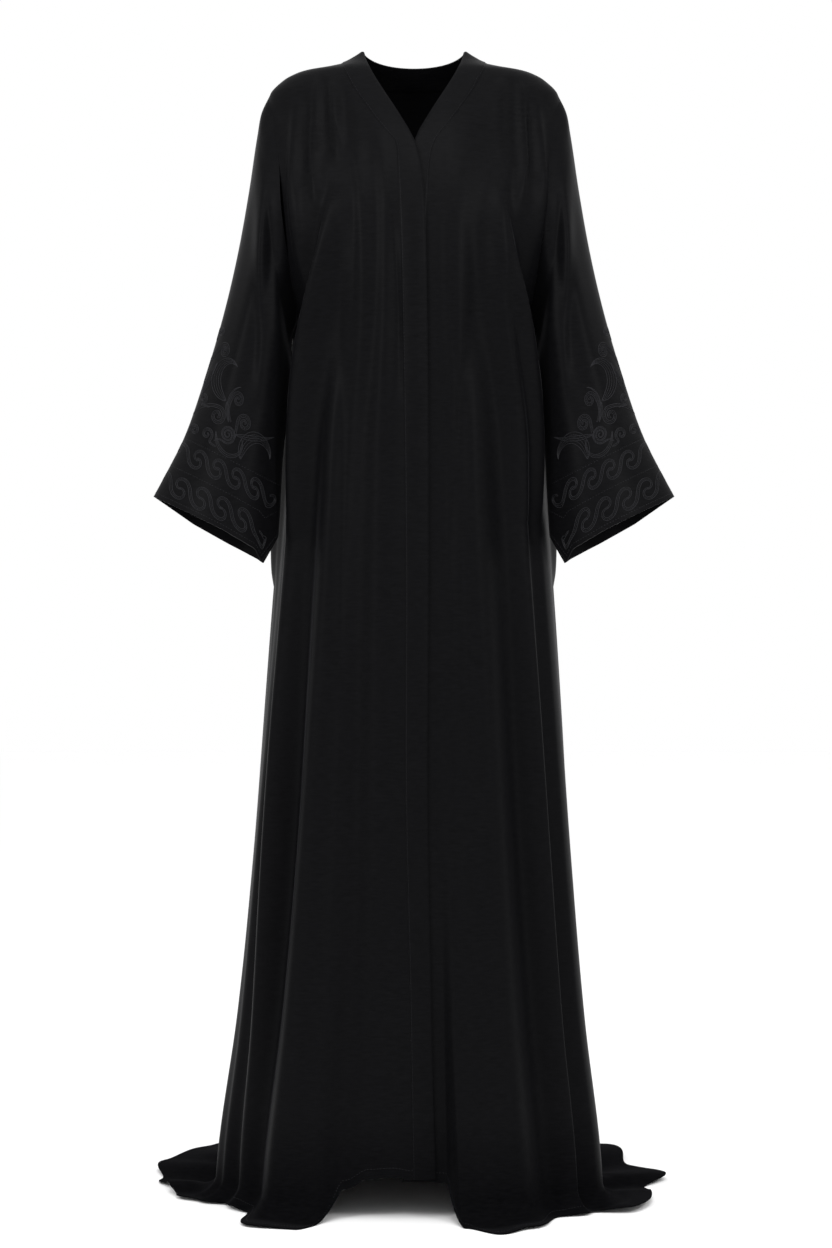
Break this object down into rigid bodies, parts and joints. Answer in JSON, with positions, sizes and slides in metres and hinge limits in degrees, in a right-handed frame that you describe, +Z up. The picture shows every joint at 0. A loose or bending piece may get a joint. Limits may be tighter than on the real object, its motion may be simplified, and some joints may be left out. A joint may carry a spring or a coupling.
{
  "type": "abaya cloak",
  "caption": "Long open-front abaya with wide batwing sleeves, faced cuffs, a V neck with overlapping front bands, and a hem that trails on the floor, in its worn shape.",
  "frame": {"origin": "the middle of the neck opening, level with the neck points where the shoulders carry the garment", "axes": "+Z up, the front faces -Y, +X is the wearer's left"},
  "size_m": [0.6866, 0.718, 1.49],
  "materials": {
    "crepe": "matt crepe"
  },
  "bodies": {
    "root": {"back": "crepe", "front_left": "crepe", "front_right": "crepe", "front_band_left": "crepe", "front_band_right": "crepe", "sleeve_left": "crepe", "sleeve_right": "crepe", "cuff_left": "crepe", "cuff_right": "crepe"}
  },
  "joints": []
}
